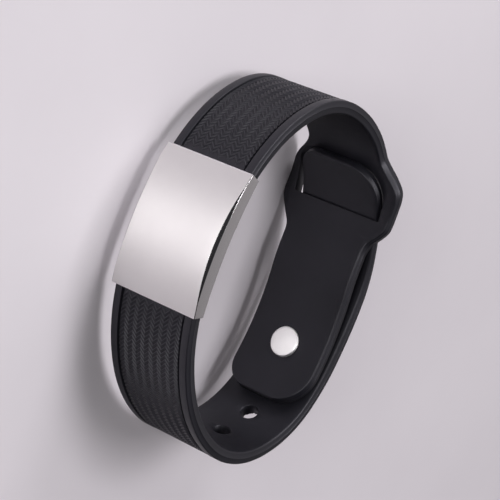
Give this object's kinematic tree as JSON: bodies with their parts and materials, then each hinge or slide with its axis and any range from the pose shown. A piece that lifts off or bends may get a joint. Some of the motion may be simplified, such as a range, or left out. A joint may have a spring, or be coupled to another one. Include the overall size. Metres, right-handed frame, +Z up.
{
  "type": "silicone id wristband",
  "caption": "Closed silicone wristband with a bare arched steel plate, a ribbed outer face, and a tail that is studded through a hole and tucked through a keeper.",
  "frame": {"origin": "centre of the base, on the surface that the wristband lies on its side upon", "axes": "+Z up through the wrist opening, across the band; +X along the longer way across the opening, towards the free holes; the plate faces -Y and the stud's head faces +Y"},
  "size_m": [0.0764, 0.0614, 0.0282],
  "materials": {
    "band": "matt moulded silicone",
    "plate": "finely brushed stainless steel face with polished edges",
    "stud": "satin stainless steel"
  },
  "bodies": {
    "root": {"band": "band", "id_plate": "plate", "stud": "stud"}
  },
  "joints": []
}
